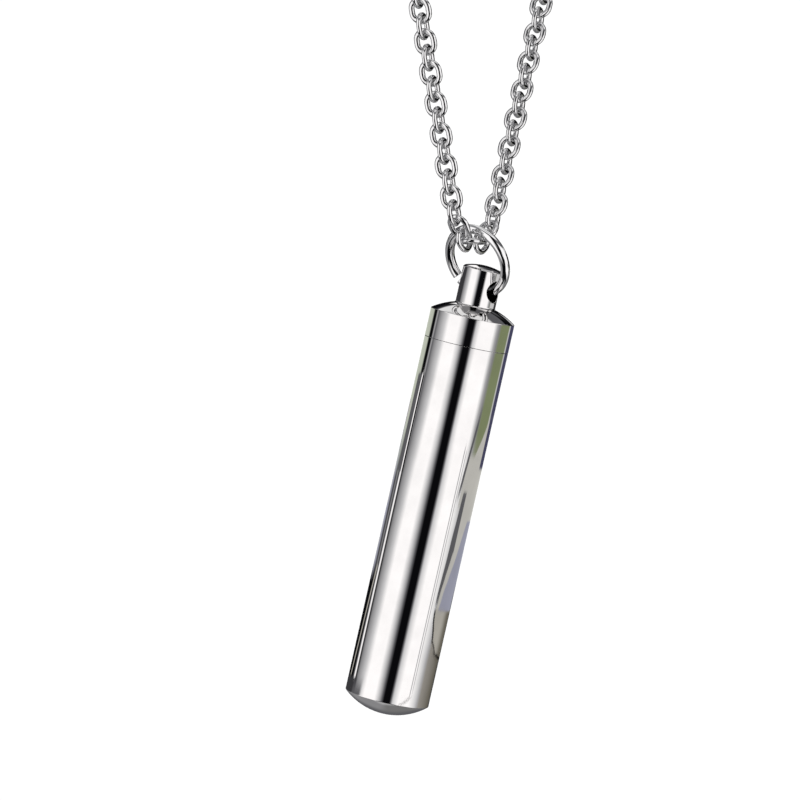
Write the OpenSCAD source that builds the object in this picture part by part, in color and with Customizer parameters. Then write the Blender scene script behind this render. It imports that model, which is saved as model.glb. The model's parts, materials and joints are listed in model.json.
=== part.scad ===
// Capsule pendant: a round steel capsule with a screw cap, hung by a jump ring on an oval-link chain.
// Millimetres. The origin is on the inner face of the clasp, where the closed necklace hangs.
// +Z is up, the capsule's axis is parallel to Z, and the hole through its stem runs along Y.

/* [Capsule] */
// Outside diameter of the tube and of the cap's skirt
capsule_d = 10; // [8:0.5:14]
// Length of the tube's straight side, from the seam to the bottom rim
tube_l = 42.7; // [20:0.1:60]
// Height of the shallow dome that closes the tube
dome_h = 1.9; // [1:0.1:3]
// Diameter of the hollow inside the tube
bore_d = 7.5; // [5.6:0.1:7.6]
// Thickness of the tube's end wall above its rim
end_wall = 0.6; // [0.4:0.1:2]
// Width of the fine groove between the cap and the tube
seam_w = 0.12; // [0.1:0.01:0.3]

/* [Cap] */
// Height of the cap's straight skirt
skirt_h = 3.35; // [2:0.05:6]
// Rise of the cap's domed shoulder between its edge and the stem
shoulder_h = 1.25; // [0.8:0.05:1.6]
// Diameter of the stem
stem_d = 4.75; // [4.2:0.05:5.4]
// Distance from the centre of the stem's hole up to the middle of its top
stem_above = 2.75; // [2.5:0.05:3.3]
// Rise of the shallow dome on the stem's top
stem_dome = 0.35; // [0.1:0.05:0.5]
// Distance from the centre of the stem's hole down to its root
stem_below = 2.1; // [1.9:0.05:2.6]
// Chamfer round the stem's top
stem_chamfer = 0.2; // [0.1:0.05:0.4]
// Flare where the stem meets the shoulder
stem_flare = 0.3; // [0.1:0.05:0.4]
// Diameter of the hole across the stem
hole_d = 2.5; // [2.4:0.05:2.7]
// Length of the plug under the cap, which closes the tube
plug_l = 5; // [3:0.5:8]
// Radial clearance of the plug in the tube
plug_gap = 0.05; // [0.03:0.01:0.1]

/* [Jump ring] */
// Radius of the ring, to the middle of its wire
ring_r = 4; // [3.8:0.05:4.4]
// Diameter of the ring's wire
ring_wire = 1.12; // [0.9:0.02:1.2]
// Lean of the ring away from upright
ring_lean = 27; // [20:1:32]
// Width of the split between the ring's ends
ring_split = 0.55; // [0.05:0.05:0.6]
// Place of the split, as an angle round the ring from its lowest point
split_at = 45; // [45:1:90]
// Depth of the ring's wire below the centre of the stem's hole
ring_drop = 0.45; // [0.4:0.01:0.5]

/* [Chain] */
// Length of a link over its wire
link_l = 3.2; // [3.1:0.02:3.4]
// Width of a link over its wire
link_w = 2.75; // [2.6:0.05:2.8]
// Diameter of a link's wire
link_wire = 0.62; // [0.5:0.02:0.62]
// Clearance between one link's wire and the next
link_gap = 0.11; // [0.1:0.01:0.14]
// Number of links in each straight strand
straight_links = 70; // [70:1:70]
// Number of links in the curve from each strand to the clasp
arc_links = 43; // [43:1:43]
// Twist of each strand about its own line, the same way round on both sides
strand_twist = 10; // [0:5:15]
// Angle of each straight strand away from the middle of the loop
strand_angle = 19.5; // [19.5:0.5:19.5]
// Lean of the whole loop, backwards as it rises
loop_lean = 13.5; // [0:0.5:20]

/* [Clasp] */
// Width of the clasp
clasp_w = 5; // [4:0.5:6]
// Thickness of the clasp
clasp_t = 1.6; // [1.4:0.1:1.6]
// Diameter of the hole at each end of the clasp
eye_d = 1.9; // [1.8:0.05:2]
// Radius of each end ring, to the middle of its wire
end_ring_r = 1.6; // [1.6:0.05:1.8]
// Diameter of the end rings' wire
end_ring_wire = 0.8; // [0.7:0.05:0.8]

/* [Hidden] */
$fn = 48;

// Headings of the lowest link and the next ones, where the chain bends under the ring
bend_headings = [0, 34, 52, 63];
// Height of the jump ring's wire above the middle of the lowest link
ring_lift = 1.42;
// Most that one link may twist against the next
twist_step = 5;
// Metal between an eye and the end of the clasp
eye_wall = 0.85;
// Edge chamfer of the capsule's seam
seam_chamfer = 0.12;
// Extra length of a cutting shape past the metal
past = 1;

// A link lies near the loop's plane when its number is odd, and across it when even
link_arc_r = (link_w - link_wire) / 2;
link_half_flat = (link_l - link_w) / 2;
across_reach = (link_l - link_wire) / 2 + link_arc_r - link_wire - link_gap;
side_links = len(bend_headings) - 1 + straight_links + arc_links;
strand_heading = 90 - strand_angle;

function heading(k) =
    k < len(bend_headings) ? bend_headings[k] :
    k <= side_links - arc_links ? strand_heading :
    strand_heading + (180 - strand_heading) * (k - side_links + arc_links) / arc_links;
function twist(k) =
    min(strand_twist, twist_step * max(0, k - len(bend_headings) + 2), twist_step * (side_links - k));
function reach(k) = (k % 2 == 0 ? across_reach : link_half_flat) * [cos(heading(k)), sin(heading(k))];
// Middle of every link of one side, from the lowest link up, each pivoting on the arc of its neighbour
stations = [for (k = 0, at = [0, 0]; k <= side_links; at = at + reach(k) + reach(k + 1), k = k + 1) at];

// The last link hangs in an end ring, and the end ring in the clasp's eye
last_link = stations[side_links];
end_ring_x = last_link[0] - (link_l - link_wire) / 2 - end_ring_r + (link_wire + end_ring_wire) / 2 + link_gap;
eye_x = end_ring_x - end_ring_r;
clasp_l = 2 * (eye_x + eye_d / 2 + eye_wall);
loop_drop = last_link[1] - clasp_t / 2;

// The ring hangs over the lowest link, and the capsule hangs in the ring
lowest_link = loop_drop * [0, -sin(loop_lean), -cos(loop_lean)];
ring_up = [-sin(ring_lean), 0, cos(ring_lean)];
ring_top = lowest_link + [0, 0, ring_lift];
ring_centre = ring_top - ring_r * ring_up;
hole_centre = ring_top - (2 * ring_r - ring_drop) * ring_up;

// Heights on the capsule, measured from the centre of its hole
shoulder_z = -stem_below - shoulder_h;
skirt_z = shoulder_z - skirt_h;
rim_z = skirt_z - seam_w - tube_l;
capsule_r = capsule_d / 2;
dome_r = (capsule_r ^ 2 + dome_h ^ 2) / (2 * dome_h);
// Sphere through the shoulder's outer edge and the stem's root, with its centre on the axis
root_r = stem_d / 2;
// Inner edge of the stem's chamfer, where its dome begins
stem_edge_r = root_r - stem_chamfer;
stem_edge_z = stem_above - stem_dome;
stem_dome_r = (stem_edge_r ^ 2 + stem_dome ^ 2) / (2 * stem_dome);
shoulder_c = shoulder_z - ((capsule_r ^ 2 - root_r ^ 2) - shoulder_h ^ 2) / (2 * shoulder_h);
shoulder_r = sqrt(capsule_r ^ 2 + (shoulder_z - shoulder_c) ^ 2);

module in_loop() {
    rotate([-loop_lean, 0, 0]) translate([0, 0, -loop_drop]) children();
}

module half_turn(r, wire) {
    rotate_extrude(angle = 180) translate([r, 0]) circle(d = wire, $fn = 24);
}

module link() {
    for (side = [-1, 1]) {
        translate([side * link_half_flat, 0, 0]) rotate([0, 0, -side * 90]) half_turn(link_arc_r, link_wire);
        translate([0, side * link_arc_r, 0]) rotate([0, 90, 0])
            cylinder(d = link_wire, h = 2 * link_half_flat, center = true, $fn = 24);
    }
}

module placed_link(k, side) {
    translate([stations[k][0], 0, stations[k][1]]) rotate([0, -heading(k), 0])
        rotate([k % 2 * 90 + side * twist(k), 0, 0]) link();
}

module chain_right() {
    color("silver") in_loop() for (k = [0:side_links]) placed_link(k, 1);
}

module chain_left() {
    color("silver") in_loop() mirror([1, 0, 0]) for (k = [1:side_links]) placed_link(k, -1);
}

module clasp() {
    half_eyes = clasp_l / 2 - clasp_w / 2;
    color("gainsboro") rotate([-loop_lean, 0, 0]) difference() {
        union() {
            translate([-half_eyes, -clasp_w / 2, 0]) cube([2 * half_eyes, clasp_w, clasp_t]);
            for (side = [-1, 1]) translate([side * half_eyes, 0, 0]) cylinder(d = clasp_w, h = clasp_t);
        }
        for (side = [-1, 1]) translate([side * eye_x, 0, -past]) cylinder(d = eye_d, h = clasp_t + 2 * past);
    }
}

module end_ring(side) {
    color("silver") rotate([-loop_lean, 0, 0]) translate([side * end_ring_x, 0, clasp_t / 2])
        rotate([90, 0, 0]) rotate_extrude() translate([end_ring_r, 0]) circle(d = end_ring_wire, $fn = 24);
}

module end_ring_left() { end_ring(-1); }

module end_ring_right() { end_ring(1); }

module jump_ring() {
    split_angle = ring_split / ring_r * 180 / PI;
    color("silver") translate(ring_centre) rotate([0, 90 - ring_lean, 0])
        rotate([0, 0, split_at + split_angle / 2]) rotate_extrude(angle = 360 - split_angle)
            translate([ring_r, 0]) circle(d = ring_wire, $fn = 32);
}

module stem() {
    chamfer_z = stem_edge_z - stem_chamfer;
    translate([0, 0, shoulder_z]) cylinder(d = stem_d, h = chamfer_z - shoulder_z);
    translate([0, 0, chamfer_z]) cylinder(d1 = stem_d, d2 = 2 * stem_edge_r, h = stem_chamfer);
    intersection() {
        translate([0, 0, stem_above - stem_dome_r]) sphere(r = stem_dome_r, $fn = 96);
        translate([0, 0, chamfer_z]) cylinder(r = stem_edge_r, h = stem_chamfer + 2 * stem_dome);
    }
    translate([0, 0, -stem_below - stem_flare / 2])
        cylinder(d1 = stem_d + 3 * stem_flare, d2 = stem_d, h = 1.5 * stem_flare);
}

module cap() {
    color("gainsboro") translate(hole_centre) difference() {
        union() {
            stem();
            intersection() {
                translate([0, 0, shoulder_c]) sphere(r = shoulder_r, $fn = 96);
                translate([0, 0, shoulder_z]) cylinder(d = capsule_d, h = 2 * shoulder_h);
            }
            translate([0, 0, skirt_z + seam_chamfer]) cylinder(d = capsule_d, h = skirt_h - seam_chamfer);
            translate([0, 0, skirt_z])
                cylinder(d1 = capsule_d - 2 * seam_chamfer, d2 = capsule_d, h = seam_chamfer);
            translate([0, 0, skirt_z - plug_l]) cylinder(d = bore_d - 2 * plug_gap, h = plug_l + past);
        }
        rotate([90, 0, 0]) cylinder(d = hole_d, h = stem_d + 2 * past, center = true);
    }
}

module tube() {
    top_z = skirt_z - seam_w;
    color("gainsboro") translate(hole_centre) difference() {
        union() {
            translate([0, 0, rim_z]) cylinder(d = capsule_d, h = tube_l - seam_chamfer);
            translate([0, 0, top_z - seam_chamfer])
                cylinder(d1 = capsule_d, d2 = capsule_d - 2 * seam_chamfer, h = seam_chamfer);
            intersection() {
                translate([0, 0, rim_z - dome_h + dome_r]) sphere(r = dome_r, $fn = 96);
                translate([0, 0, rim_z - 2 * dome_h]) cylinder(d = capsule_d, h = 2 * dome_h);
            }
        }
        translate([0, 0, rim_z + end_wall]) cylinder(d = bore_d, h = tube_l + past);
    }
}

chain_left();
chain_right();
clasp();
end_ring_left();
end_ring_right();
jump_ring();
cap();
tube();
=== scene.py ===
import json
import math
import random

import bpy
import numpy as np
from mathutils import Matrix, Vector


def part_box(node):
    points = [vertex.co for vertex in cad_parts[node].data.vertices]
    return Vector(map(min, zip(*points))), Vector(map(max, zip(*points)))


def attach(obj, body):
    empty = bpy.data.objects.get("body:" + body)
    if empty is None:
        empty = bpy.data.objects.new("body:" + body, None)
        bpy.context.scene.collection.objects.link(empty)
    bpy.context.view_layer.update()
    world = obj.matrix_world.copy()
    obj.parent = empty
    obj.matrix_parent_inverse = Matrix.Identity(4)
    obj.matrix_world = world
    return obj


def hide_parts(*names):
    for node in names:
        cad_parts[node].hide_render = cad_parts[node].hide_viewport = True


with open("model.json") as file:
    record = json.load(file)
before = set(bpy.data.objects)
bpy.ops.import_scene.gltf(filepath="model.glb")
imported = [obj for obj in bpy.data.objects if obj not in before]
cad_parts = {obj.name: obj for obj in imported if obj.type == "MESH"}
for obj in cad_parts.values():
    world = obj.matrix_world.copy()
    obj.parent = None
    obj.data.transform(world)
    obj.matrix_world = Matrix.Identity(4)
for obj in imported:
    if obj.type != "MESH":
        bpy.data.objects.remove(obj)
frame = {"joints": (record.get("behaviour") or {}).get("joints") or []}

# Lengths below are millimetres, as in the part's source, and meshes are made in metres
MM = 0.001
# Chance has a seed, so the links come out the same in every run
random_links = random.Random(11)
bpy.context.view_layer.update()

joints = {joint["name"]: joint for joint in frame["joints"]}
ring_centre = np.array(joints["ring_turn"]["pos_m"]) / MM
ring_axis = np.array(joints["ring_turn"]["axis"])
hole_centre = np.array(joints["capsule_swing"]["pos_m"]) / MM


def node_box(node):
    """Lowest and highest corner of a CAD node, in millimetres."""
    return [np.array(corner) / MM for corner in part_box(node)]


# Meshes: patches of quads with a true normal at every corner, welded into one surface where corners meet

WELD = 1e-4
OFF_GRID = 0.37 * WELD
EDGE_STEPS = 5


def unit(vectors):
    """Vectors made one long."""
    return vectors / np.linalg.norm(vectors, axis=-1, keepdims=True)


def patch(points, normals, wear_and_shade=0.0):
    """Quads of a grid of points, facing outwards. Each corner is a row of point, normal and a value of wear
    and shade, which is 1 where the steel is rubbed and -1 where painted shade turns it near black."""
    points, normals = np.broadcast_arrays(points, normals)
    wear_and_shade = np.broadcast_to(wear_and_shade, points.shape[:2])[..., None]
    grid = np.concatenate([points, normals, wear_and_shade], axis=-1)
    quads = np.stack([grid[:-1, :-1], grid[:-1, 1:], grid[1:, 1:], grid[1:, :-1]], axis=2).reshape(-1, 4, 7)
    spans = quads[:, 2:, :3] - quads[:, :2, :3]
    facing = (np.cross(spans[:, 0], spans[:, 1]) * quads[:, :, 3:6].sum(1)).sum(1)
    quads[facing < 0] = quads[facing < 0][:, ::-1]
    return quads


def shell(name, patches, material, body, slot, *nodes):
    """One object from patches: it rides on a body, takes a finish and stands for CAD nodes. slot is not used.
    """
    quads = np.concatenate(patches)
    corners = quads[..., :3].reshape(-1, 3)
    cells = np.round((corners + OFF_GRID) / WELD).astype(np.int64)
    _, first, index = np.unique(cells, axis=0, return_index=True, return_inverse=True)
    faces, normals, wear_and_shade = [], [], []
    for ids, quad in zip(index.reshape(-1, 4).tolist(), quads):
        kept = [i for i in range(4) if ids[i] != ids[i - 1]]
        if len(kept) > 2:
            faces.append([ids[i] for i in kept])
            normals.extend(quad[kept, 3:6].tolist())
            wear_and_shade.extend(quad[kept, 6].tolist())
    mesh = bpy.data.meshes.new(name)
    mesh.from_pydata((corners[first] * MM).tolist(), [], faces, shade_flat=False)
    mesh.normals_split_custom_set(normals)
    mesh.attributes.new("wear_and_shade", "FLOAT", "CORNER").data.foreach_set("value", wear_and_shade)
    return placed(name, mesh, material, body, slot, *nodes)


def placed(name, mesh, material, body, slot, *nodes):
    """One object from a mesh, with the same things said of it."""
    mesh.materials.append(material)
    piece = bpy.data.objects.new(name, mesh)
    bpy.context.scene.collection.objects.link(piece)
    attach(piece, body)
    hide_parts(*nodes)
    return piece


# Turned outlines, as rows of radius, height, the normal's two parts and wear, with the metal on the left

COLUMNS = 256
UP = np.array([0, 0, 1.0])


def arc(centre, radius, start, end, steps, wear_and_shade=0.0, hollow=False):
    """Rows of a round stretch. The metal is inside it, or outside it where it is hollow."""
    angles = np.linspace(start, end, steps + 1)
    normals = np.stack([np.cos(angles), np.sin(angles)], axis=1)
    return np.hstack([np.array(centre) + radius * normals, -normals if hollow else normals,
                      np.full((steps + 1, 1), wear_and_shade)])


def straight(start, end):
    """Rows of a straight stretch."""
    along = unit(np.subtract(end, start))
    return np.array([[*start, along[1], -along[0], 0], [*end, along[1], -along[0], 0]])


def outline(*corners):
    """Straight stretches between corners of radius, height and rounding, worn where they are round."""
    rows = []
    at = corners[0][:2]
    for before, corner, after in zip(corners, corners[1:], corners[2:]):
        first = unit(np.subtract(corner[:2], before[:2]))
        second = unit(np.subtract(after[:2], corner[:2]))
        turn = math.atan2(first[0] * second[1] - first[1] * second[0], first @ second)
        start = np.array(corner[:2]) - first * corner[2] * abs(math.tan(turn / 2))
        out = math.atan2(-first[0], first[1])
        centre = start - math.copysign(corner[2], turn) * np.array([math.cos(out), math.sin(out)])
        rows.append(straight(at, start))
        begin = out if turn > 0 else out + math.pi
        rows.append(arc(centre, corner[2], begin, begin + turn, EDGE_STEPS, wear_and_shade=1, hollow=turn < 0))
        at = rows[-1][-1, :2]
    return rows + [straight(at, corners[-1][:2])]


def around():
    """Directions of a full turn about the upright axis."""
    angles = np.linspace(0, 2 * math.pi, COLUMNS + 1)
    return np.stack([np.cos(angles), np.sin(angles), 0 * angles], axis=1)


def turned(rows):
    """Patches of an outline turned about the capsule's axis."""
    made = []
    for row in rows:
        radius, height, outward, upward = (row[:, i, None, None] for i in range(4))
        points = hole_centre + radius * around() + height * UP
        made.append(patch(points, outward * around() + upward * UP, row[:, 4:]))
    return made


THREAD_PITCH = 0.75
THREAD_RUN_OUT = 0.8 * THREAD_PITCH
THREAD_WEAR = 0.5
ROWS_A_PITCH = 12


def thread(radius, low, high, depth):
    """A right-hand thread cut into a plug, or into a bore if depth is negative. It fades out at both ends."""
    heights = np.linspace(low, high, int(ROWS_A_PITCH * (high - low) / THREAD_PITCH) + 1)[:, None]
    angles = np.linspace(0, 2 * math.pi, COLUMNS + 1)[None]
    fade = np.clip(np.minimum(heights - low, high - heights) / THREAD_RUN_OUT, 0, 1)
    phase = 2 * math.pi * heights / THREAD_PITCH - angles
    wall = radius - depth * fade * (0.5 - 0.5 * np.cos(phase))
    climb = -depth * fade * 0.5 * np.sin(phase)
    slope = climb * 2 * math.pi / THREAD_PITCH
    side = np.stack([-np.sin(angles), np.cos(angles), 0 * angles], axis=-1)
    normals = around() - slope[..., None] * UP + (climb / wall)[..., None] * side
    points = hole_centre + wall[..., None] * around() + heights[..., None] * UP
    return patch(points, math.copysign(1, depth) * unit(normals), THREAD_WEAR)


# Capsule: the tube and the cap, with heights measured from the middle of the stem's hole

# The seam between the solids of tube and cap, and how much of it the tube's mouth fills here
SEAM_W = 0.12
SEAM_CLOSED = 0.09
SEAM_EDGE = 0.03
BORE_R = 3.75
PLUG_GAP = 0.05
THREAD_DEPTH = 0.24
EDGE = 0.11

tube_low, tube_high = (corner - hole_centre for corner in node_box("tube"))
cap_low, cap_high = (corner - hole_centre for corner in node_box("cap"))
capsule_r = tube_high[0]
tube_top, dome_bottom = tube_high[2], tube_low[2]
stem_top, plug_bottom = cap_high[2], cap_low[2]
skirt_z = tube_top + SEAM_W


def tube_patches():
    """The tube from the middle of its dome, up its wall, over its mouth and down its threaded bore."""
    dome_h, end_wall, end_corner = 1.9, 0.6, 0.3
    lead_in, mouth_edge = 0.15, 0.04
    thread_start, thread_end = 0.35, 5.2
    rim_z = dome_bottom + dome_h
    dome_r = (capsule_r ** 2 + dome_h ** 2) / (2 * dome_h)
    dome_centre = dome_bottom + dome_r
    edge_r = capsule_r - EDGE
    edge_z = dome_centre - math.sqrt((dome_r - EDGE) ** 2 - edge_r ** 2)
    meet = -math.acos(edge_r / (dome_r - EDGE))
    thread_top, thread_low = tube_top - thread_start, tube_top - thread_end
    rows = [arc((0, dome_centre), dome_r, -math.pi / 2, meet, steps=24),
            arc((edge_r, edge_z), EDGE, meet, 0, EDGE_STEPS, wear_and_shade=1)]
    mouth = tube_top + SEAM_CLOSED
    rows += outline((capsule_r, edge_z, 0), (capsule_r, mouth, SEAM_EDGE),
                    (BORE_R + lead_in, mouth, mouth_edge), (BORE_R, mouth - lead_in, mouth_edge),
                    (BORE_R, thread_top, 0))
    rows += outline((BORE_R, thread_low, 0), (BORE_R, rim_z + end_wall, end_corner), (0, rim_z + end_wall, 0))
    return turned(rows) + [thread(BORE_R, thread_low, thread_top, -THREAD_DEPTH)]


STEM_R = 2.375
STEM_DOME = 0.35
STEM_CHAMFER = 0.2
STEM_ROUNDING = 0.1
HOLE_R = 1.25
HOLE_EDGE = 0.09
# How far the drilled band of the stem reaches up and down from the hole's middle
BAND_H = 1.75


def surface_at(angle, height, side):
    """Point and normal on the stem's wall, at an angle from the hole's axis on one side."""
    out = np.stack([np.sin(angle), side * np.cos(angle), 0 * angle], axis=-1)
    return hole_centre + STEM_R * out + height[..., None] * UP, out


def drilled_band():
    """The stem's wall above, below and beside the hole, the hole's rounded edges and the hole itself."""
    reach, levels, loops, crowding = COLUMNS // 8, 40, 10, 0.7
    edge_rows, hole_rows = 5, 9
    quarter = math.pi / 4
    heights = np.linspace(-BAND_H, BAND_H, levels + 1)
    across = np.linspace(-quarter, quarter, 2 * reach + 1)
    frame_angle = np.concatenate([across[:-1], np.full(levels, quarter), -across[:-1],
                                  np.full(levels + 1, -quarter)])
    frame_height = np.concatenate([np.full(2 * reach, -BAND_H), heights[:-1], np.full(2 * reach, BAND_H),
                                   heights[::-1]])
    turn = np.arctan2(frame_height, STEM_R * frame_angle)
    x, z = np.cos(turn), np.sin(turn)
    into_hole = np.stack([-x, 0 * x, -z], axis=-1)
    made, mouths = [], []
    for side in (1, -1):
        rim = HOLE_R + HOLE_EDGE
        inward = np.linspace(0, 1, loops + 1)[:, None] ** crowding
        angle = (1 - inward) * frame_angle + inward * np.arcsin(rim * x / STEM_R)
        height = (1 - inward) * frame_height + inward * rim * z
        points, normals = surface_at(angle, height, side)
        made.append(patch(points, normals))
        corner, _ = surface_at(np.arcsin(HOLE_R * x / STEM_R), HOLE_R * z, side)
        mouth = corner - HOLE_EDGE * np.array([0, side, 0])
        past = np.linspace(0, 1, edge_rows)[:, None, None]
        made.append(patch((1 - past) ** 2 * points[-1] + 2 * past * (1 - past) * corner + past ** 2 * mouth,
                          unit((1 - past) * normals[-1] + past * into_hole), 1.0))
        mouths.append(mouth)
        out = side * np.stack([np.cos(across), np.sin(across), 0 * across], axis=-1)
        made.append(patch(hole_centre + STEM_R * out + heights[:, None, None] * UP, out))
    past = np.linspace(0, 1, hole_rows)[:, None, None]
    # The hole itself takes painted shade: its value of -1 turns its steel near black
    made.append(patch((1 - past) * mouths[0] + past * mouths[1], into_hole, -1.0))
    return made


def cap_patches():
    """The cap from the foot of its threaded plug, out under its skirt, over its shoulder and up its stem."""
    skirt_h, shoulder_h, root_fillet = 3.35, 1.25, 0.2
    lead_in, lead_in_edge = 0.3, 0.06
    groove, groove_edge, groove_corner = 0.3, 0.1, 0.12
    plain_below, plain_above = 0.35, 0.7
    plug_r = BORE_R - PLUG_GAP
    shoulder_z = skirt_z + skirt_h
    shoulder_c = shoulder_z - (capsule_r ** 2 - STEM_R ** 2 - shoulder_h ** 2) / (2 * shoulder_h)
    shoulder_r = math.hypot(capsule_r, shoulder_z - shoulder_c)
    edge_r = capsule_r - EDGE
    edge_z = shoulder_c + math.sqrt((shoulder_r - EDGE) ** 2 - edge_r ** 2)
    edge_turn = math.acos(edge_r / (shoulder_r - EDGE))
    root_r = STEM_R + root_fillet
    root_z = shoulder_c + math.sqrt((shoulder_r + root_fillet) ** 2 - root_r ** 2)
    root_turn = math.acos(root_r / (shoulder_r + root_fillet))
    thread_low, thread_top = plug_bottom + plain_below, skirt_z - plain_above
    rows = outline((0, plug_bottom, 0), (plug_r - lead_in, plug_bottom, lead_in_edge),
                   (plug_r, plug_bottom + lead_in, lead_in_edge), (plug_r, thread_low, 0))
    rows += outline((plug_r, thread_top, 0), (plug_r - groove, thread_top + groove, groove_edge),
                    (plug_r - groove, skirt_z, groove_corner), (capsule_r, skirt_z, SEAM_EDGE),
                    (capsule_r, edge_z, 0))
    rows += [arc((edge_r, edge_z), EDGE, 0, edge_turn, EDGE_STEPS, wear_and_shade=1),
             arc((0, shoulder_c), shoulder_r, edge_turn, root_turn, steps=16),
             arc((root_r, root_z), root_fillet, root_turn + math.pi, math.pi, steps=10, hollow=True),
             straight((STEM_R, root_z), (STEM_R, -BAND_H))]
    top_r = STEM_R - STEM_CHAMFER
    top_edge = stem_top - STEM_DOME
    top_dome_r = (top_r ** 2 + STEM_DOME ** 2) / (2 * STEM_DOME)
    top_turn = math.asin((top_dome_r - STEM_DOME) / top_dome_r)
    rows += outline((STEM_R, BAND_H, 0), (STEM_R, top_edge - STEM_CHAMFER, STEM_ROUNDING),
                    (top_r, top_edge, 0))
    rows.append(arc((0, stem_top - top_dome_r), top_dome_r, top_turn, math.pi / 2, steps=12))
    return turned(rows) + drilled_band() + [thread(plug_r, thread_low, thread_top, THREAD_DEPTH)]


# Wire: the jump ring, the end rings and the links

RING_WIRE = 1.12
RING_SPLIT = 0.55
SPLIT_AT = math.radians(45)
RING_EDGE = 0.07
RING_FACE_WEAR = 0.6
ring_down = np.array([ring_axis[2], 0, -ring_axis[0]])


def section(sides):
    """Cosines and sines of a full turn, as the section of a round wire."""
    angles = np.linspace(0, 2 * math.pi, sides + 1)
    return np.cos(angles)[:, None], np.sin(angles)[:, None]


def ring_patches():
    """A wire ring with a narrow split between rounded ends. Angles run from its lowest point towards +Y."""
    steps, sides = 360, 40
    wire = RING_WIRE / 2
    low, high = node_box("jump_ring")
    radius = (high[1] - low[1]) / 2 - wire
    along_y = np.array([0, 1.0, 0])
    half_split = (RING_SPLIT / 2 + RING_EDGE) / radius
    angles = np.linspace(SPLIT_AT + half_split, SPLIT_AT + 2 * math.pi - half_split, steps + 1)[:, None]
    out = (np.cos(angles) * ring_down + np.sin(angles) * along_y)[:, None]
    cosine, sine = section(sides)
    normals = cosine * out + sine * ring_axis
    made = [patch(ring_centre + radius * out + wire * normals, normals)]
    bend = np.linspace(0, math.pi / 2, EDGE_STEPS + 1)[:, None, None]
    inner = wire - RING_EDGE
    for end, way in ((0, -1), (-1, 1)):
        ahead = way * (np.cos(angles[end]) * along_y - np.sin(angles[end]) * ring_down)
        middle = ring_centre + radius * out[end]
        spread = inner + RING_EDGE * np.cos(bend)
        made.append(patch(middle + RING_EDGE * np.sin(bend) * ahead + spread * normals[end],
                          np.cos(bend) * normals[end] + np.sin(bend) * ahead, 1.0))
        face = np.array([inner, 0])[:, None, None] * normals[end]
        made.append(patch(middle + RING_EDGE * ahead + face, ahead + 0 * face, RING_FACE_WEAR))
    return made


LOOP_LEAN = math.radians(13.5)
loop_up = np.array([0, math.sin(LOOP_LEAN), math.cos(LOOP_LEAN)])
loop_out = np.array([0, math.cos(LOOP_LEAN), -math.sin(LOOP_LEAN)])
END_RING_WIRE = 0.8


def end_ring_patches(node):
    """A soldered ring that stands across the leaning loop."""
    steps, sides = 120, 24
    wire = END_RING_WIRE / 2
    low, high = node_box(node)
    centre, radius = (low + high) / 2, (high[0] - low[0]) / 2 - wire
    angles = np.linspace(0, 2 * math.pi, steps + 1)[:, None]
    out = (np.cos(angles) * np.array([1.0, 0, 0]) + np.sin(angles) * loop_up)[:, None]
    cosine, sine = section(sides)
    normals = cosine * out + sine * loop_out
    return [patch(centre + radius * out + wire * normals, normals)]


LINK_L = 3.2
LINK_W = 2.75
LINK_WIRE = 0.62
LINK_GAP = 0.11
# From the middle of the lowest link up to the middle of the jump ring's wire above it
RING_LIFT = 1.42
# Headings and twists are degrees. The lowest links have one each, and the strand above them is straight.
BEND_HEADINGS = [0, 34, 52, 63]
STRAIGHT_LINKS = 70
ARC_LINKS = 43
STRAND_HEADING = 90 - 19.5
STRAND_TWIST = 10
TWIST_STEP = 5
LOOSE_TWIST = 2
# A link's wire, as shares of its plain section: breadth, thickness, and how flat its faces are pressed
LINK_BROAD, LINK_THICK, LINK_PRESSED = 1.1, 1.06, 0.12
SOLDER_SWELL, SOLDER_REACH = 0.05, 0.16
CHANCE_WEAR, END_WEAR = 0.35, 0.65

side_links = len(BEND_HEADINGS) - 1 + STRAIGHT_LINKS + ARC_LINKS
link_arc_r = (LINK_W - LINK_WIRE) / 2
# From the middle of an odd link, and of an even one, to where the chain bends between them
link_half_flat = (LINK_L - LINK_W) / 2
across_reach = (LINK_L - LINK_WIRE) / 2 + link_arc_r - LINK_WIRE - LINK_GAP


def heading(number):
    """The way a link points, from level at the lowest link to level again at the top of the loop."""
    if number < len(BEND_HEADINGS):
        return math.radians(BEND_HEADINGS[number])
    past_strand = max(0, number - (side_links - ARC_LINKS))
    return math.radians(STRAND_HEADING + (180 - STRAND_HEADING) * past_strand / ARC_LINKS)


def twist(number):
    """The strand's twist at a link, which eases in above the lowest links and out at the top."""
    eased = TWIST_STEP * min(max(0, number - len(BEND_HEADINGS) + 2), side_links - number)
    return math.radians(min(STRAND_TWIST, eased))


def stations():
    """Middle of every link of one side, from the lowest link up, in the plane of the loop."""
    at, found = np.zeros(2), []
    for number in range(side_links + 1):
        reach = link_half_flat if number % 2 else across_reach
        step = reach * np.array([math.cos(heading(number)), math.sin(heading(number))])
        if number:
            at = at + step
        found.append(at)
        at = at + step
    return found


def link_outline(solder):
    """Middle line of a link's wire, its outward direction and how much the wire swells at the solder."""
    bend_steps, flat_steps = 18, 4
    bend = np.linspace(-math.pi / 2, math.pi / 2, bend_steps + 1)
    flat = np.linspace(1, -1, flat_steps + 1)[1:-1]
    round_end = np.stack([np.cos(bend), np.sin(bend)], axis=1)
    long_side = np.stack([link_half_flat * flat, np.full(len(flat), link_arc_r)], axis=1)
    half = np.concatenate([link_arc_r * round_end + [link_half_flat, 0], long_side])
    out = np.concatenate([round_end, np.tile([0.0, 1.0], (len(flat), 1))])
    points = np.concatenate([half, -half, half[:1]])
    swell = 1 + SOLDER_SWELL * np.exp(-((points[:, 0] / SOLDER_REACH) ** 2)) * (points[:, 1] * solder > 0)
    return points, np.concatenate([out, -out, out[:1]]), swell


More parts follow.
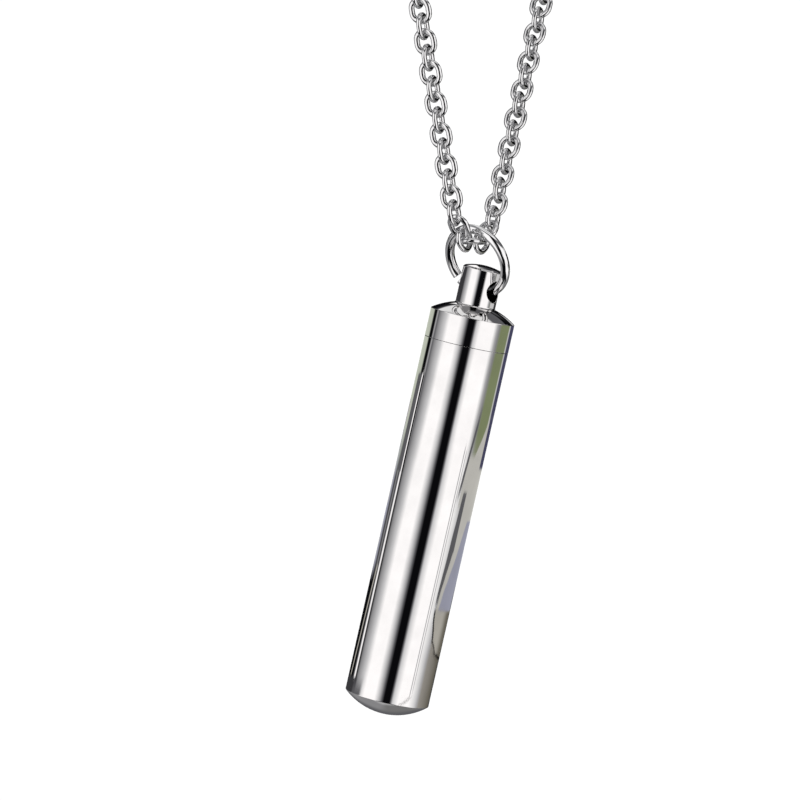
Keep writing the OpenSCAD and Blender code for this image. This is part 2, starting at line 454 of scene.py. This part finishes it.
def link_patch(centre, along, across):
    """One oval link of wire with its faces pressed flat, soldered on a side that chance picks."""
    sides = 16
    flat_on = np.cross(along, across)
    points, out, swell = link_outline(random_links.choice((-1, 1)))
    middle = centre + points @ np.stack([along, across])
    outward = (out @ np.stack([along, across]))[:, None]
    cosine, sine = section(sides)
    wire = LINK_WIRE / 2 * swell[:, None, None]
    spread = LINK_BROAD * cosine * outward + LINK_THICK * (sine - LINK_PRESSED * sine ** 3) * flat_on
    normals = unit(LINK_THICK * cosine * (1 - 3 * LINK_PRESSED * sine ** 2) * outward
                   + LINK_BROAD * sine * flat_on)
    rubbed = np.clip(np.abs(points[:, :1]) - link_half_flat, 0, 1) * np.clip(-cosine[:, 0], 0, 1)
    wear_and_shade = CHANCE_WEAR * random_links.random() + END_WEAR * rubbed
    return patch(middle[:, None] + wire * spread, normals, wear_and_shade)


def chain_patches(side, first):
    """Links of one half of the loop, from the first number up. side is 1 on the right and -1 on the left."""
    ring_low, ring_high = node_box("jump_ring")
    ring_r = (ring_high[1] - ring_low[1] - RING_WIRE) / 2
    lowest = ring_centre - ring_r * ring_down - RING_LIFT * UP
    loop_side = np.array([side, 0, 0])
    made = []
    for number, (x, z) in list(enumerate(stations()))[first:]:
        turn = heading(number)
        along = math.cos(turn) * loop_side + math.sin(turn) * loop_up
        upward = -math.sin(turn) * loop_side + math.cos(turn) * loop_up
        loose = math.radians(random_links.uniform(-LOOSE_TWIST, LOOSE_TWIST)) * (number > 1)
        roll = number % 2 * math.pi / 2 + side * twist(number) + loose
        across = math.cos(roll) * loop_out + math.sin(roll) * upward
        made.append(link_patch(lowest + x * loop_side + z * loop_up, along, across))
    return made


# Clasp


def clasp_mesh():
    """A plate with rounded ends and edges and an eye at each end, filled from flat curves."""
    low, high = node_box("clasp")
    width, thick = 5.0, 1.6
    rounding, eye_r, eye_wall = 0.3, 0.95, 0.85
    end_steps, eye_steps, edge_steps, sharp = 32, 48, 4, 30
    half = (high[0] - low[0]) / 2
    eye_x = half - eye_wall - eye_r
    bend = np.linspace(-math.pi / 2, math.pi / 2, end_steps + 1)
    end = np.stack([half - width / 2 + width / 2 * np.cos(bend), width / 2 * np.sin(bend)], axis=1)
    turn = np.linspace(0, 2 * math.pi, eye_steps + 1)[:-1]
    eye = np.stack([eye_r * np.cos(turn), eye_r * np.sin(turn)], axis=1)
    flat = bpy.data.curves.new("clasp_flat", "CURVE")
    flat.dimensions, flat.fill_mode = "2D", "BOTH"
    flat.extrude = (thick / 2 - rounding) * MM
    flat.bevel_depth, flat.bevel_resolution, flat.offset = rounding * MM, edge_steps, -rounding * MM
    for points in (np.concatenate([end, -end]), eye + [eye_x, 0], eye - [eye_x, 0]):
        spline = flat.splines.new("POLY")
        spline.points.add(len(points) - 1)
        spline.points.foreach_set("co", np.pad(points * MM, ((0, 0), (0, 2))).ravel())
        spline.use_cyclic_u = True
    holder = bpy.data.objects.new("clasp_flat", flat)
    mesh = bpy.data.meshes.new_from_object(holder)
    bpy.data.objects.remove(holder)
    turned_over = Matrix(np.stack([[1, 0, 0], loop_out, loop_up], axis=1).tolist()).to_4x4()
    mesh.transform(Matrix.Translation(Vector(loop_up * thick / 2 * MM)) @ turned_over)
    mesh.set_sharp_from_angle(angle=math.radians(sharp))
    return mesh


# Materials


def node(tree, kind, inputs=(), **settings):
    """A shader node, with its settings, and its inputs given as values or as sockets of other nodes."""
    made = tree.nodes.new("ShaderNode" + kind)
    for name, value in settings.items():
        setattr(made, name, value)
    for socket, value in dict(inputs).items():
        if isinstance(value, bpy.types.NodeSocket):
            tree.links.new(value, made.inputs[socket])
        else:
            made.inputs[socket].default_value = value
    return made


def maths(tree, operation, *values, clamp=False):
    """One operation on values or sockets."""
    return node(tree, "Math", dict(enumerate(values)), operation=operation, use_clamp=clamp).outputs[0]


def ranged(tree, value, start, end, low=0.0, high=1.0, curve="LINEAR"):
    """Goes from low to high as a value goes from start to end, and stays at those beyond."""
    return node(tree, "MapRange", {"Value": value, "From Min": start, "From Max": end, "To Min": low,
                                   "To Max": high}, interpolation_type=curve).outputs[0]


def noise(tree, place, scale, detail, rough=0.5):
    """Soft noise between 0 and 1."""
    inputs = {"Vector": place, "Scale": scale, "Detail": detail, "Roughness": rough}
    return node(tree, "TexNoise", inputs).outputs["Fac"]


def mixed(tree, factor, first, second):
    """The first colour where the factor is 0, and the second where it is 1."""
    return node(tree, "Mix", {0: factor, 6: first, 7: second}, data_type="RGBA").outputs[2]


# How many waves, smudges and scuffs there are to a metre, and how deep the waves are in metres
WAVES, SMUDGES, SCUFFS = 140.0, 260.0, 3500.0
WAVE_DEPTH = 6e-6
# Between which values of the smudges' noise the steel turns rough, and between which it turns darker
ROUGH_SMUDGES, DARK_SMUDGES = (0.4, 0.75), (0.3, 0.7)
SMUDGED_SHADE = 0.9
LINE_ROUGHNESS, WORN_ROUGHNESS = 0.35, 0.16
# Painted shade: the near-black colour of the steel inside the stem's hole, where the wear and shade value is
# -1
PAINTED_HOLE_SHADE = (0.03, 0.03, 0.032)


def steel(name, tint, rough, lines, line_depth, scuffs):
    """Polished stainless steel. lines is how many fine polishing lines a metre crosses along each axis, and
    line_depth is metres."""
    material = bpy.data.materials.new(name)
    material.use_nodes = True
    tree = material.node_tree
    shader = tree.nodes["Principled BSDF"]
    place = node(tree, "TexCoord").outputs["Object"]
    waves = noise(tree, place, WAVES, detail=1.0)
    stretched = node(tree, "VectorMath", {0: place, 1: lines}, operation="MULTIPLY").outputs["Vector"]
    grain = noise(tree, stretched, 1.0, detail=3.0)
    smudge = noise(tree, place, SMUDGES, detail=5.0, rough=0.6)
    fine = noise(tree, place, SCUFFS, detail=2.0)
    wear_and_shade = node(tree, "Attribute", attribute_name="wear_and_shade").outputs["Fac"]

    rub = maths(tree, "MULTIPLY", wear_and_shade, fine, clamp=True)
    # Painted shade mask: 1 inside the stem's hole, where the steel is turned near black
    painted_shade = maths(tree, "MULTIPLY", wear_and_shade, -1.0, clamp=True)
    smudged = ranged(tree, smudge, *ROUGH_SMUDGES, rough, rough + scuffs)
    lined = maths(tree, "MULTIPLY_ADD", grain, LINE_ROUGHNESS * scuffs, smudged)
    tree.links.new(maths(tree, "MULTIPLY_ADD", rub, WORN_ROUGHNESS, lined), shader.inputs["Roughness"])

    darker = tuple(SMUDGED_SHADE * part for part in tint)
    shade = ranged(tree, smudge, *DARK_SMUDGES)
    polished = mixed(tree, shade, (*tint, 1), (*darker, 1))
    tree.links.new(mixed(tree, painted_shade, polished, (*PAINTED_HOLE_SHADE, 1)), shader.inputs["Base Color"])

    bend = node(tree, "Bump", {"Height": waves, "Strength": 1.0, "Distance": WAVE_DEPTH}).outputs[0]
    scored = node(tree, "Bump", {"Height": grain, "Strength": 1.0, "Distance": line_depth, "Normal": bend})
    tree.links.new(scored.outputs[0], shader.inputs["Normal"])
    shader.inputs["Metallic"].default_value = 1.0
    return material


MIRROR = (0.8, 0.79, 0.785)


def tube_steel():
    """A mirror, with hardly any depth to the lines round it."""
    return steel("tube_steel", MIRROR, rough=0.01, lines=(60, 60, 5000), line_depth=2e-8, scuffs=0.008)


def cap_steel():
    """The tube's mirror with its lines closer together."""
    return steel("cap_steel", MIRROR, rough=0.01, lines=(60, 60, 6000), line_depth=2e-8, scuffs=0.008)


def ring_steel():
    """Tumbled wire, a little softer than the capsule."""
    tint, lines = (0.78, 0.78, 0.785), (900, 900, 900)
    return steel("ring_steel", tint, rough=0.03, lines=lines, line_depth=6e-7, scuffs=0.03)


def chain_steel():
    """Tumbled wire, softer and more marked than the ring."""
    tint, lines = (0.76, 0.76, 0.765), (1500, 1500, 1500)
    return steel("chain_steel", tint, rough=0.05, lines=lines, line_depth=2e-6, scuffs=0.06)


def clasp_steel():
    """Satin steel, brushed along the clasp."""
    tint, lines = (0.77, 0.77, 0.775), (150, 4000, 150)
    return steel("clasp_steel", tint, rough=0.09, lines=lines, line_depth=1.5e-6, scuffs=0.1)


# Studio: a pale floor, plain white light, and the soft boxes and black flags that the polished steel mirrors

PHOTO_AZIMUTH = math.radians(-56)
PHOTO_ELEVATION = math.radians(4.7)
PHOTO_ROLL = math.radians(12.64)
PHOTO_DISTANCE = 657
PHOTO_LENS, SENSOR_WIDTH = 252.5, 36
# From the middle of the stem's hole to the middle of the picture, towards its right and its top
PHOTO_SHIFT = (-9.26, -13.1)

PLAIN_LIGHT = 1.08
FLOOR_PAPER = (0.97, 0.97, 0.97, 1)

towards_camera = Vector((math.sin(PHOTO_AZIMUTH), -math.cos(PHOTO_AZIMUTH), 0))
camera_right = Vector((math.cos(PHOTO_AZIMUTH), math.sin(PHOTO_AZIMUTH), 0))


def camera():
    """The photo's camera, turned so that the upright capsule leans in the picture. Its clips are metres."""
    clip_start, clip_end = 0.01, 100
    back = math.cos(PHOTO_ELEVATION) * towards_camera + math.sin(PHOTO_ELEVATION) * Vector((0, 0, 1))
    up = back.cross(camera_right)
    right = math.cos(PHOTO_ROLL) * camera_right + math.sin(PHOTO_ROLL) * up
    up = back.cross(right)
    data = bpy.data.cameras.new("photo_camera")
    data.lens, data.sensor_width = PHOTO_LENS, SENSOR_WIDTH
    data.clip_start, data.clip_end = clip_start, clip_end
    made = bpy.data.objects.new("photo_camera", data)
    bpy.context.scene.collection.objects.link(made)
    place = Vector(hole_centre) + PHOTO_DISTANCE * back + PHOTO_SHIFT[0] * right + PHOTO_SHIFT[1] * up
    made.matrix_world = Matrix.Translation(place * MM) @ Matrix((right, up, back)).transposed().to_4x4()
    bpy.context.scene.camera = made


BLACK, DARK, SLATE = (0.004, 0.004, 0.005), (0.05, 0.05, 0.055), (0.13, 0.13, 0.14)
GREY, SILVER, PALE = (0.3, 0.3, 0.31), (0.5, 0.5, 0.51), (0.75, 0.75, 0.76)
MILK, WHITE = (0.95, 0.95, 0.95), (1.3, 1.28, 1.28)
OLIVE, STONE, NAVY = (0.24, 0.28, 0.15), (0.5, 0.48, 0.43), (0.07, 0.07, 0.13)
SAGE, MAUVE, SAND = (0.6, 0.64, 0.54), (0.37, 0.38, 0.47), (0.35, 0.332, 0.3)
PLASTER, BROWN, ASH = (0.6, 0.59, 0.55), (0.165, 0.152, 0.122), (0.4, 0.39, 0.38)
SMOKE = (0.21, 0.21, 0.21)

# Screens at the height of the capsule, which its upright walls mirror. Each stop is degrees from the camera
# towards the right, and a colour. The upper list shows near the cap, and the lower one near the dome.
UPPER_SCREENS = [
    (-180, SAGE), (-132, SAGE), (-126, BLACK), (-114, BLACK), (-110, SILVER), (-104, SLATE), (-97, GREY),
    (-86, SILVER), (-74, PALE), (-62, WHITE), (-32, WHITE), (-21, PALE), (-12, SLATE), (-8, BLACK),
    (8, BLACK), (11, SLATE), (15, PALE), (26, WHITE), (66, WHITE), (71, MILK), (77, SILVER), (84, GREY),
    (92, OLIVE), (126, OLIVE), (131, PALE), (137, NAVY), (174, NAVY)]
LOWER_SCREENS = [
    (-180, SILVER), (-152, MAUVE), (-145, SLATE), (-139, DARK), (-132, GREY), (-126, DARK), (-122, SLATE),
    (-118, WHITE), (-115, WHITE), (-112, BLACK), (-108, DARK), (-103, GREY), (-91, SILVER), (-80, PALE),
    (-66, WHITE), (-34, WHITE), (-24, PALE), (-13, SLATE), (-8, BLACK), (9, BLACK), (12, SLATE), (17, PALE),
    (32, WHITE), (62, WHITE), (76, MILK), (83, PALE), (90, SILVER), (98, SAND), (142, BROWN), (172, DARK)]
# Between these rises the upper list gives way to the lower one
UPPER_RISE, LOWER_RISE = -4.85, -5.5
# The rise of the screens' middle, half their height and their soft edge
SCREENS_RISE, SCREENS_REACH, SCREENS_EDGE = -7.0, 4.0, 2.0

# The rest of the studio, in degrees: turn, half width and soft edge, then rise, half height and soft edge,
# then how far the sides lean for each degree of rise, and the colour. Later ones stand in front.
SOFT_BOXES = [
    # Overhead and underneath
    (0, 180, 8, 76, 16, 10, 0, SILVER),
    (0, 75, 15, 68, 5.5, 1.5, 0, WHITE),
    (0, 180, 8, -86, 16, 10, 0, SILVER),
    # High up
    (180, 60, 14, 52, 28, 10, 0, MILK),
    (140, 38, 8, 36, 19, 5, 0, SLATE),
    (126, 20, 8, 24, 10, 6, 0, BLACK),
    (160, 16, 3, 28, 7, 3, 0, BLACK),
    (-90, 50, 14, 46, 10, 6, 0, GREY),
    (60, 40, 12, 46, 7, 6, 0, SLATE),
    # Both sides of the camera, and farther round
    (-56, 32, 8, -4, 36, 8, 0, WHITE),
    (56, 32, 8, -2, 38, 8, 0, WHITE),
    (-114, 8, 5, 0, 40, 8, 0, PALE),
    (118, 12, 8, 0, 30, 8, 0, WHITE),
    # Low down behind the pendant
    (180, 80, 20, -42, 20, 12, 0, GREY),
    (-152, 34, 30, -30, 26, 16, 0, GREY),
    (148, 26, 14, -40, 26, 10, 0, SMOKE),
    (176, 10, 16, -18, 12, 24, 0, SLATE),
    # Flags below the camera and at its height
    (0, 26, 8, -50, 34, 8, 0, BLACK),
    (0, 9, 6, 0, 30, 6, 0, BLACK),
    # Flags behind the pendant, with pale slits
    (-140, 50, 10, 8, 20, 8, 0, SLATE),
    (-160, 22, 8, 22, 8, 4, 0, DARK),
    (150, 48, 14, 6, 17, 8, 0, BLACK),
    (167, 4, 1.5, 7, 9, 2, 0, SILVER),
    (-174, 2.5, 1, 31, 9, 3, 0, WHITE)]
# Things in front of the screens, most of them at the sides
SIDE_BOXES = [
    # At the top, which the stem mirrors
    (-150, 44, 5, -3.2, 0.42, 0.03, 0, DARK),
    (112, 20, 4, -3.2, 0.42, 0.03, 0, PALE),
    (155, 26, 5, -3.2, 0.42, 0.03, 0, DARK),
    (10, 7, 14, -3.2, 0.42, 0.03, 0, BLACK),
    # Lines of a window, upright and then leaning
    (61, 0.8, 1, -6.3, 1.25, 0.1, 0, SILVER),
    (67, 0.5, 1, -6.3, 1.2, 0.1, 0, SILVER),
    (47, 1.2, 1.5, -7.65, 0.045, 0.015, 262, ASH),
    (54, 1, 1.2, -7.65, 0.045, 0.015, 262, ASH),
    # Upper right, with a dark line
    (148, 42, 3, -5.05, 0.3, 0.1, 75, PLASTER),
    (131, 52, 1, -5.36, 0.2, 0.08, 0, GREY),
    (131, 52, 1, -5.36, 0.22, 0.08, 0, PLASTER),
    (79.5, 2.4, 1.5, -5.1, 0.3, 0.25, 16, SLATE),
    # Upper left
    (-127, 13, 1, -4.9, 0.5, 0.04, 0, SLATE),
    (-115.5, 1.8, 1, -4.9, 0.5, 0.04, 0, WHITE),
    (-110.5, 2.5, 1, -4.9, 0.5, 0.04, 0, BLACK),
    # Right, from the cap down
    (165, 26, 4, -4.94, 0.24, 0.06, 0, NAVY),
    (131.5, 48, 2, -6.06, 0.57, 0.04, 10, SLATE),
    (148, 46, 2, -5.76, 0.4, 0.04, 0, PLASTER),
    (137.5, 46, 2, -6.4, 0.29, 0.03, 26, PLASTER),
    (147.5, 32, 4, -6.22, 0.46, 0.03, 47, MAUVE),
    # Lower right, a patch with a dark outline
    (136.5, 50, 1, -6.87, 0.17, 0.02, -45, BLACK),
    (141.5, 50, 1, -6.87, 0.17, 0.02, -45, STONE),
    (150, 44, 1, -7.095, 0.055, 0.01, -220, BLACK),
    (154.5, 44, 1, -7.09, 0.06, 0.01, -220, STONE),
    (160, 12, 36, -6.95, 0.24, 0.04, 0, BROWN),
    (150, 12, 2, -7.178, 0.032, 0.008, -850, BLACK),
    # Lower left
    (-162, 34, 4, -7.4, 0.8, 0.3, 0, BLACK),
    (-136, 2, 2, -6.95, 0.55, 0.06, 12, STONE),
    (-152, 44, 8, -7.75, 0.2, 0.03, 0, DARK),
    (-98, 12, 10, -7.77, 0.06, 0.22, 0, SLATE)]


def bands(tree, position, colours):
    """Colours that fade into one another from stop to stop, all the way round."""
    ramp = node(tree, "ValToRGB", {"Fac": position})
    stops = ramp.color_ramp.elements
    while len(stops) < len(colours):
        stops.new(0.5)
    for stop, (angle, colour) in zip(stops, colours):
        stop.position = angle / 360 + 0.5
        stop.color = (*colour, 1)
    return ramp.outputs["Color"]


def within(tree, angle, middle, reach, edge):
    """1 where an angle is within reach of a middle one, and 0 past a soft edge."""
    apart = maths(tree, "SUBTRACT", angle, middle)
    off = maths(tree, "ABSOLUTE", maths(tree, "WRAP", apart, -180.0, 180.0))
    return ranged(tree, off, reach, reach + edge, 1.0, 0.0, curve="SMOOTHSTEP")


def with_boxes(tree, behind, turn, rise, boxes):
    """The colour behind, or that of a box where one stands in front."""
    for middle, half_width, side_edge, level, half_height, level_edge, lean, colour in boxes:
        leaning = maths(tree, "MULTIPLY_ADD", rise, -lean, lean * level)
        wide = within(tree, maths(tree, "ADD", turn, leaning), middle, half_width, side_edge)
        high = within(tree, rise, level, half_height, level_edge)
        behind = mixed(tree, maths(tree, "MULTIPLY", wide, high), behind, (*colour, 1))
    return behind


def studio():
    """The world: what the steel mirrors, and plain white light for all the rest."""
    world = bpy.data.worlds.new("studio")
    bpy.context.scene.world = world
    world.use_nodes = True
    tree = world.node_tree
    tree.nodes.clear()
    way = node(tree, "TexCoord").outputs["Generated"]
    ahead = node(tree, "VectorMath", {0: way, 1: towards_camera}, operation="DOT_PRODUCT").outputs["Value"]
    right = node(tree, "VectorMath", {0: way, 1: camera_right}, operation="DOT_PRODUCT").outputs["Value"]
    height = node(tree, "SeparateXYZ", {"Vector": way}).outputs["Z"]
    facing = maths(tree, "ARCTAN2", right, ahead)
    turn = maths(tree, "DEGREES", facing)
    rise = maths(tree, "DEGREES", maths(tree, "ARCSINE", height))

    boxes = with_boxes(tree, (*BLACK, 1), turn, rise, SOFT_BOXES)
    position = maths(tree, "MULTIPLY_ADD", facing, 0.5 / math.pi, 0.5)
    lower = ranged(tree, rise, UPPER_RISE, LOWER_RISE)
    screens = mixed(tree, lower, bands(tree, position, UPPER_SCREENS), bands(tree, position, LOWER_SCREENS))
    screens = with_boxes(tree, screens, turn, rise, SIDE_BOXES)
    mirrored = mixed(tree, within(tree, rise, SCREENS_RISE, SCREENS_REACH, SCREENS_EDGE), boxes, screens)

    around_it = node(tree, "Background", {"Color": mirrored}).outputs[0]
    plain = node(tree, "Background", {"Color": (1, 1, 1, 1), "Strength": PLAIN_LIGHT}).outputs[0]
    glossy = node(tree, "LightPath").outputs["Is Glossy Ray"]
    both = node(tree, "MixShader", {0: glossy, 1: plain, 2: around_it}).outputs[0]
    node(tree, "OutputWorld", {"Surface": both})


def floor():
    """A wide sheet of pale paper under the pendant, which the steel doesn't mirror. Its sizes are metres."""
    mesh = bpy.data.meshes.new("floor")
    reach, height = 40, -0.26
    mesh.from_pydata([(-reach, -reach, height), (reach, -reach, height), (reach, reach, height),
                      (-reach, reach, height)], [], [(0, 1, 2, 3)])
    paper = bpy.data.materials.new("floor_paper")
    paper.use_nodes = True
    shader = paper.node_tree.nodes["Principled BSDF"]
    shader.inputs["Base Color"].default_value = FLOOR_PAPER
    shader.inputs["Roughness"].default_value = 1
    shader.inputs["Specular IOR Level"].default_value = 0
    mesh.materials.append(paper)
    made = bpy.data.objects.new("floor", mesh)
    bpy.context.scene.collection.objects.link(made)
    made.visible_glossy = False


# The whole

camera()
studio()
floor()

tube_finish, cap_finish, ring_finish = tube_steel(), cap_steel(), ring_steel()
chain_finish, clasp_finish = chain_steel(), clasp_steel()

shell("capsule_tube", tube_patches(), tube_finish, "vial", "tube_steel", "tube")
shell("capsule_cap", cap_patches(), cap_finish, "capsule", "cap_steel", "cap")
shell("split_ring", ring_patches(), ring_finish, "ring", "ring_steel", "jump_ring")
shell("links_right", chain_patches(1, 0), chain_finish, "necklace", "chain_steel", "chain_right")
shell("links_left", chain_patches(-1, 1), chain_finish, "necklace", "chain_steel", "chain_left")
placed("clasp_plate", clasp_mesh(), clasp_finish, "necklace", "clasp_steel", "clasp")
for side in ("left", "right"):
    cad_ring = "end_ring_" + side
    ring = end_ring_patches(cad_ring)
    shell("soldered_ring_" + side, ring, clasp_finish, "necklace", "clasp_steel", cad_ring)

bpy.context.scene.view_settings.view_transform = "Standard"
